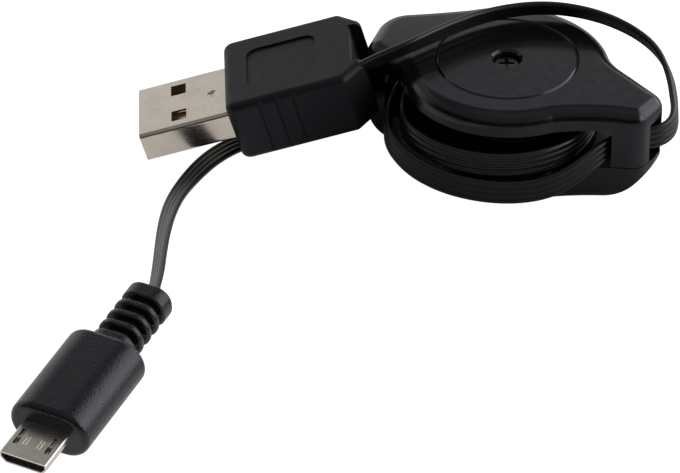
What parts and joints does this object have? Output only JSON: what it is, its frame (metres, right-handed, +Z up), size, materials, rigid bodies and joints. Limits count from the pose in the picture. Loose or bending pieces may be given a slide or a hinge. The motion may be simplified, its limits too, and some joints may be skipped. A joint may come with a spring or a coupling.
{
  "type": "retractable charging cable",
  "caption": "Round spring reel with a flat ribbed cord drawn out on both sides to a wide host plug and a small device plug.",
  "frame": {"origin": "on the table, at the foot of the reel's spool axis", "axes": "+Z up along the spool axis, +X towards the reel's long cord outlet, across its two outlets, +Y away from the viewer of the picture"},
  "size_m": [0.0911, 0.0907, 0.019],
  "materials": {
    "casing": "smooth black moulding, semi-gloss",
    "spool": "smooth black moulding",
    "dark_steel": "blackened steel",
    "spring_steel": "bright rolled strip",
    "ball_steel": "polished",
    "cord": "satin, ribbed lengthwise",
    "plug_steel": "nickel plated",
    "host_insulator": "smooth",
    "dark_insulator": "smooth",
    "contact": "gold flashed",
    "host_grip": "fine matt texture",
    "device_grip": "fine leathery texture, semi-gloss"
  },
  "bodies": {
    "casing": {"lower_shell": "casing", "upper_shell": "casing", "centre_screw": "dark_steel", "long_strand": "cord", "short_strand": "cord", "host_plug_shell": "plug_steel", "host_plug_insulator": "host_insulator", "host_plug_contact_1": "contact", "host_plug_contact_2": "contact", "host_plug_contact_3": "contact", "host_plug_contact_4": "contact", "host_plug_grip": "host_grip", "device_plug_shell": "plug_steel", "device_plug_insulator": "dark_insulator", "device_plug_contact_1": "contact", "device_plug_contact_2": "contact", "device_plug_contact_3": "contact", "device_plug_contact_4": "contact", "device_plug_contact_5": "contact", "device_plug_grip": "device_grip"},
    "reel": {"spool": "spool", "spool_cap": "spool", "spring_cover": "spool", "mainspring": "spring_steel", "wound_cord": "cord"},
    "ball": {"lock_ball": "ball_steel"},
    "latch": {"device_plug_latch": "spring_steel"}
  },
  "joints": [
    {"name": "spool_turn", "type": "hinge", "parent": "casing", "child": "reel", "pos_m": [0, 0, 0], "axis": [0, 0, 1], "range_deg": [-420, 960], "deforming": ["mainspring"]},
    {"name": "ball_slide", "type": "slide", "parent": "casing", "child": "ball", "axis": [-0.7071, 0.7071, 0], "range_m": [-0.0006, 0.0014]},
    {"name": "latch_flex", "type": "hinge", "parent": "casing", "child": "latch", "pos_m": [-0.06099, -0.06895, 0.00412], "axis": [0.891, -0.454, 0], "range_deg": [0, 4], "stiffness_Nm_per_rad": 0.05}
  ]
}
